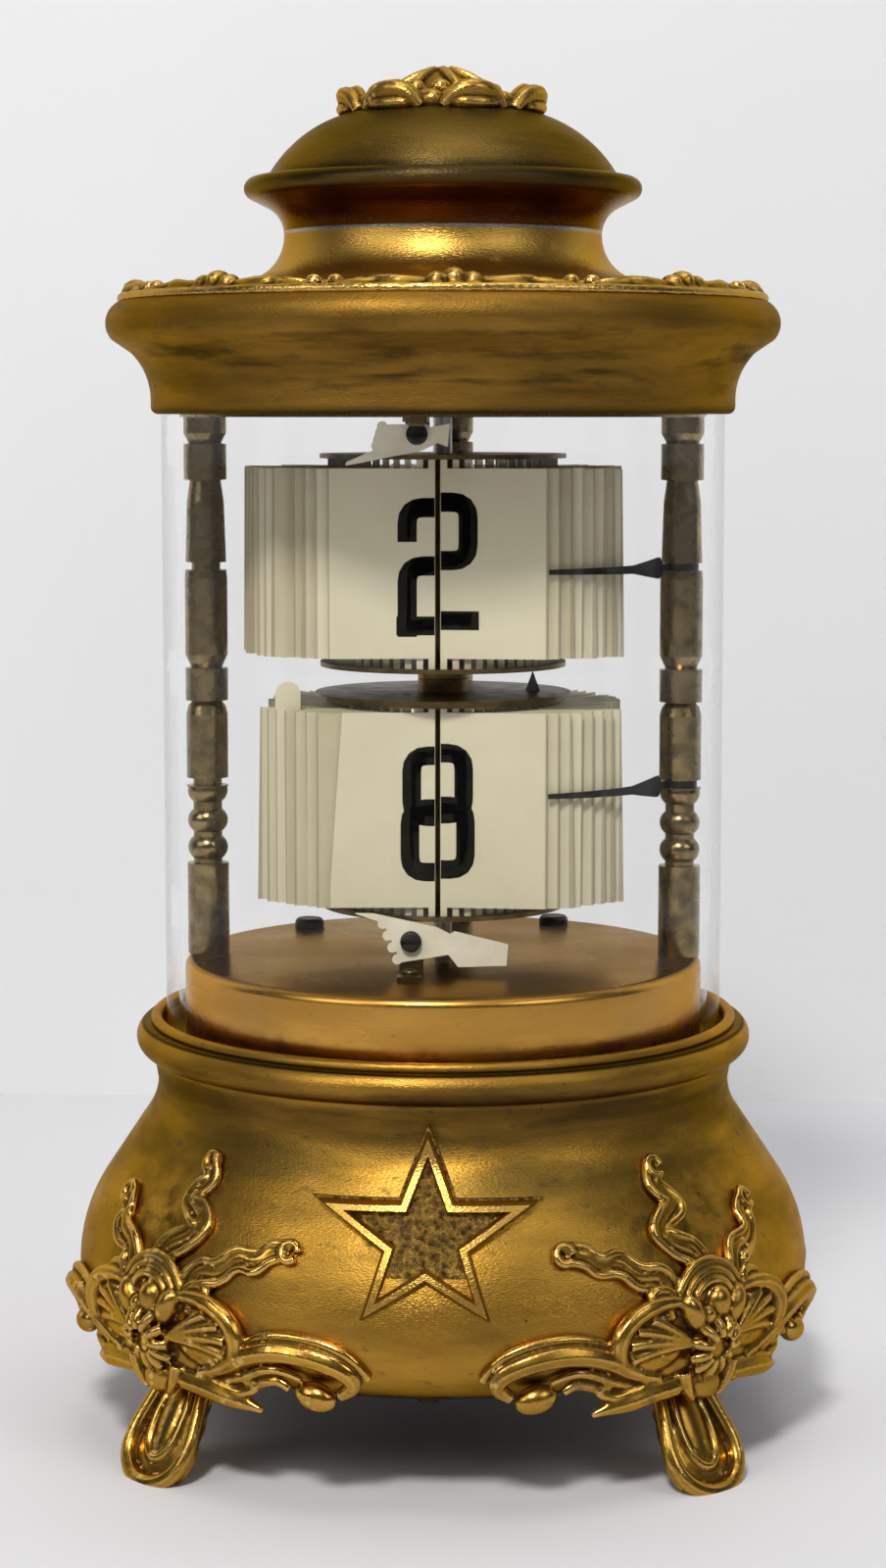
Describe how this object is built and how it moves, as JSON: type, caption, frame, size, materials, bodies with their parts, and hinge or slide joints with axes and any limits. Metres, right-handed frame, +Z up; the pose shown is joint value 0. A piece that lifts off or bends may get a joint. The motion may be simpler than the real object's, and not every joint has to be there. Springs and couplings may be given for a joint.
{
  "type": "flip clock",
  "caption": "Ticket flip clock: gilt-brass base on scroll feet, glass cylinder with turned pillars, two drums of ivory leaves that fall to show hours and minutes, domed canopy.",
  "frame": {"origin": "centre of the plane that the four feet stand on", "axes": "+Z up along the drums' arbor, -Y towards the front, where the digits show, +X to the viewer's right"},
  "size_m": [0.0834, 0.0834, 0.1493],
  "materials": {
    "gilt_brass": "antique gilt, patinated",
    "bright_brass": "polished",
    "dark_brass": "tarnished",
    "plate_brass": "satin",
    "black_steel": "black, satin",
    "steel": "satin",
    "ivory": "ivory celluloid",
    "glass": "clear"
  },
  "bodies": {
    "case": {"base_shell": "gilt_brass", "bottom_cover": "plate_brass", "cover_screws": "steel", "foot_screws": "steel", "star_emblem": "bright_brass", "plinth": "bright_brass", "plinth_screws": "black_steel", "glass_cylinder": "glass", "pillar_screws": "steel", "hour_finger": "black_steel", "minute_finger": "black_steel", "hour_lever_bracket": "plate_brass", "minute_lever_bracket": "plate_brass", "bracket_screws": "black_steel", "pivot_screws": "black_steel", "top_plate": "plate_brass", "canopy": "gilt_brass", "dome": "gilt_brass", "finial": "gilt_brass", "tie_rod": "steel", "lower_movement_plate": "plate_brass", "upper_movement_plate": "plate_brass", "movement_pillars": "plate_brass", "mainspring": "steel", "spring_post": "steel", "foot_front_right": "gilt_brass", "foot_rear_right": "gilt_brass", "foot_rear_left": "gilt_brass", "foot_front_left": "gilt_brass", "pillar_left": "dark_brass", "pillar_right": "dark_brass", "pillar_back": "dark_brass"},
    "minute_drum": {"centre_arbor": "steel", "minute_hub": "plate_brass", "minute_lower_disc": "plate_brass", "minute_upper_disc": "plate_brass", "minute_cover_disc": "plate_brass", "carry_tongue": "black_steel", "set_knob": "plate_brass"},
    "minute_leaves": {"minute_leaves": "ivory"},
    "minute_front_leaf": {"minute_front_leaf": "ivory"},
    "hour_drum": {"hour_hub": "plate_brass", "hour_lower_disc": "plate_brass", "hour_upper_disc": "plate_brass"},
    "hour_leaves": {"hour_leaves": "ivory"},
    "hour_front_leaf": {"hour_front_leaf": "ivory"},
    "hour_lever": {"hour_lever": "ivory"},
    "minute_lever": {"minute_lever": "ivory"},
    "fourth_wheel": {"fourth_wheel": "plate_brass"},
    "third_wheel": {"third_wheel": "plate_brass"},
    "centre_wheel": {"centre_wheel": "plate_brass"},
    "main_wheel": {"main_wheel": "plate_brass", "click": "steel"},
    "winding": {"winding_arbor": "steel", "winding_key": "steel"},
    "escape_wheel": {"escape_wheel": "plate_brass"},
    "pallet_lever": {"pallet_lever": "steel"},
    "balance": {"balance_wheel": "plate_brass", "hairspring": "steel"}
  },
  "joints": [
    {"name": "minute_drum_turn", "type": "hinge", "parent": "case", "child": "minute_drum", "pos_m": [0, 0, 0], "axis": [0, 0, 1], "continuous": true, "deforming": ["minute_leaves"]},
    {"name": "minute_leaves_stay", "type": "hinge", "parent": "minute_drum", "child": "minute_leaves", "pos_m": [0, 0, 0], "axis": [0, 0, 1], "continuous": true},
    {"name": "minute_front_leaf_fall", "type": "hinge", "parent": "minute_leaves", "child": "minute_front_leaf", "pos_m": [0.00065, -0.01238, 0], "axis": [0, 0, 1], "range_deg": [-165, 0]},
    {"name": "hour_drum_turn", "type": "hinge", "parent": "case", "child": "hour_drum", "pos_m": [0, 0, 0], "axis": [0, 0, 1], "continuous": true, "deforming": ["hour_leaves"]},
    {"name": "hour_leaves_stay", "type": "hinge", "parent": "hour_drum", "child": "hour_leaves", "pos_m": [0, 0, 0], "axis": [0, 0, 1], "continuous": true},
    {"name": "hour_front_leaf_fall", "type": "hinge", "parent": "hour_leaves", "child": "hour_front_leaf", "pos_m": [0.00065, -0.01238, 0], "axis": [0, 0, 1], "range_deg": [-165, 0]},
    {"name": "hour_lever_tilt", "type": "hinge", "parent": "case", "child": "hour_lever", "pos_m": [-0.0021, -0.0142, 0.1095], "axis": [0, 1, 0], "range_deg": [0, 4.5]},
    {"name": "minute_lever_tilt", "type": "hinge", "parent": "case", "child": "minute_lever", "pos_m": [-0.0028, -0.0142, 0.0551], "axis": [0, 1, 0], "range_deg": [-10, 0]},
    {"name": "fourth_wheel_turn", "type": "hinge", "parent": "case", "child": "fourth_wheel", "pos_m": [0.01492, 0.00316, 0], "axis": [0, 0, 1], "continuous": true},
    {"name": "third_wheel_turn", "type": "hinge", "parent": "case", "child": "third_wheel", "pos_m": [0.00982, -0.00567, 0], "axis": [0, 0, 1], "continuous": true},
    {"name": "centre_wheel_turn", "type": "hinge", "parent": "case", "child": "centre_wheel", "pos_m": [0, 0, 0], "axis": [0, 0, 1], "continuous": true},
    {"name": "main_wheel_turn", "type": "hinge", "parent": "case", "child": "main_wheel", "pos_m": [-0.01108, -0.00195, 0], "axis": [0, 0, 1], "continuous": true},
    {"name": "escape_wheel_turn", "type": "hinge", "parent": "case", "child": "escape_wheel", "pos_m": [0.00902, 0.0102, 0], "axis": [0, 0, 1], "continuous": true},
    {"name": "winding_turn", "type": "hinge", "parent": "case", "child": "winding", "pos_m": [-0.01108, -0.00195, 0], "axis": [0, 0, 1], "continuous": true},
    {"name": "pallet_lever_rock", "type": "hinge", "parent": "case", "child": "pallet_lever", "pos_m": [0.00332, 0.01172, 0], "axis": [0, 0, 1], "range_deg": [-8, 8]},
    {"name": "balance_swing", "type": "hinge", "parent": "case", "child": "balance", "pos_m": [-0.00624, 0.01256, 0], "axis": [0, 0, 1], "range_deg": [-130, 130], "stiffness_Nm_per_rad": 0.000007}
  ],
  "couplings": [
    {"joint": "minute_leaves_stay", "follows": "minute_drum_turn", "ratio": -1},
    {"joint": "hour_drum_turn", "follows": "minute_drum_turn", "ratio": 0.016667},
    {"joint": "hour_leaves_stay", "follows": "minute_drum_turn", "ratio": -0.016667},
    {"joint": "third_wheel_turn", "follows": "fourth_wheel_turn", "ratio": -0.13333},
    {"joint": "centre_wheel_turn", "follows": "fourth_wheel_turn", "ratio": 0.016667},
    {"joint": "main_wheel_turn", "follows": "fourth_wheel_turn", "ratio": -0.0041667},
    {"joint": "escape_wheel_turn", "follows": "fourth_wheel_turn", "ratio": -8}
  ]
}
